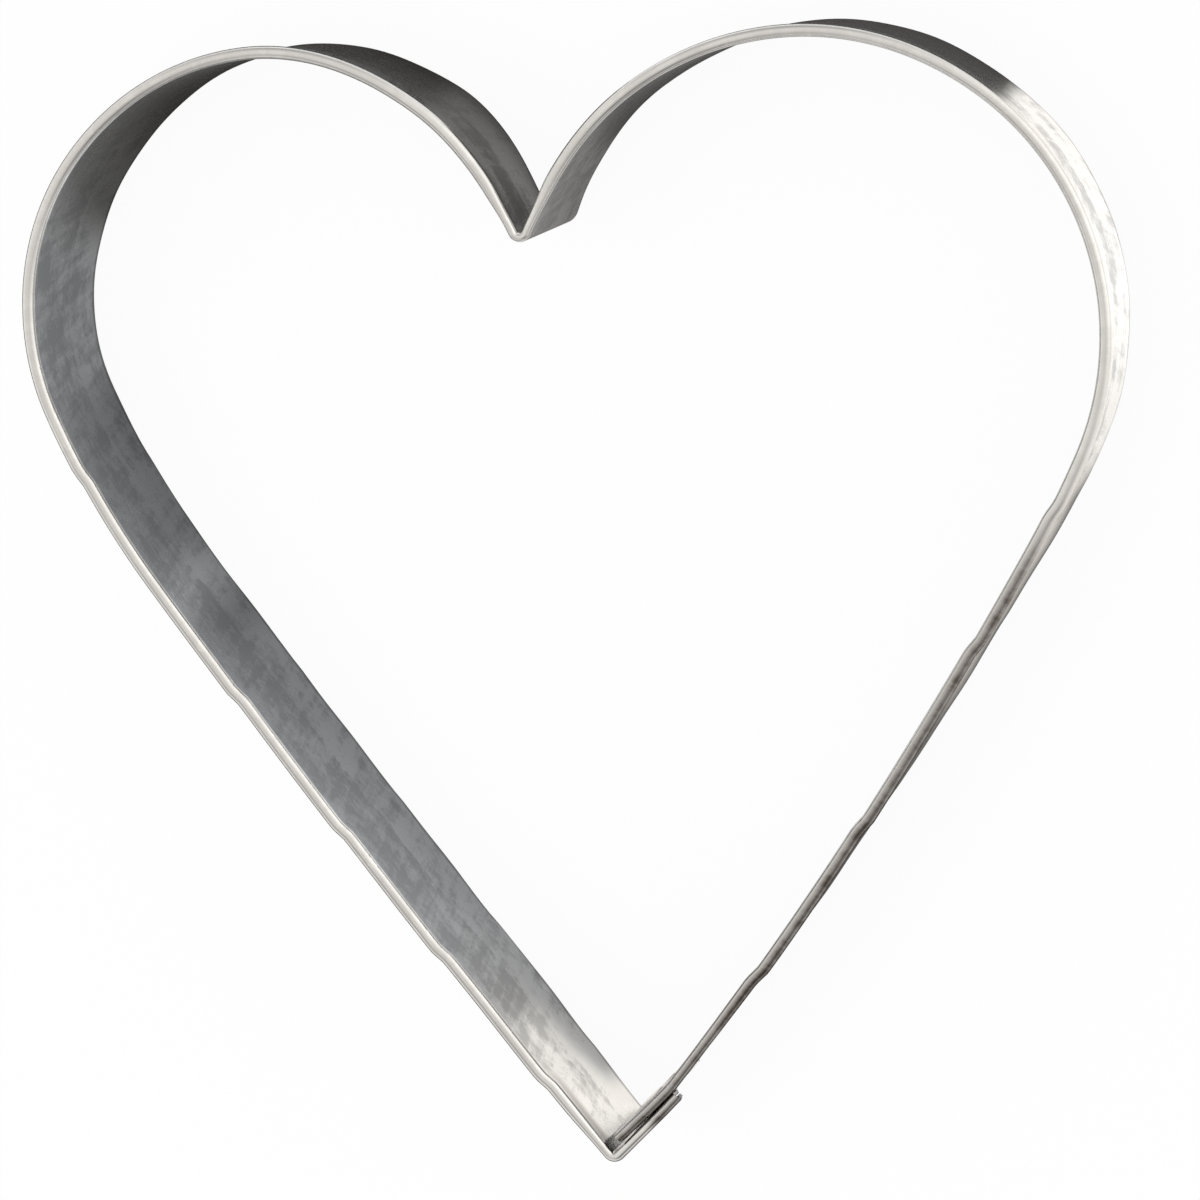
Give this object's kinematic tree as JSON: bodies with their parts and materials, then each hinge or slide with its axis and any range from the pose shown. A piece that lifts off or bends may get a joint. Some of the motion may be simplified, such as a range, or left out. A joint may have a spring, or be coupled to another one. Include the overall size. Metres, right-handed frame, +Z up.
{
  "type": "cookie cutter",
  "caption": "Heart-shaped cookie cutter: a band of thin steel sheet with a hemmed rim on top, its ends lapped and spot-welded at the tip, open through the middle.",
  "frame": {"origin": "middle of the cutter's box, on the plane of the cutting edge", "axes": "+Z up from the cutting edge to the hemmed rim, +Y from the heart's tip to its lobes, +X towards the larger lobe and the lap"},
  "size_m": [0.1014, 0.1052, 0.0204],
  "materials": {
    "sheet_steel": "mill-finished sheet, drawn lengthwise, with scuffs and handling marks",
    "weld_steel": "dull, slightly heat-tinted spot welds"
  },
  "bodies": {
    "root": {"cutter_band": "sheet_steel", "spot_weld_lower": "weld_steel", "spot_weld_upper": "weld_steel"}
  },
  "joints": []
}
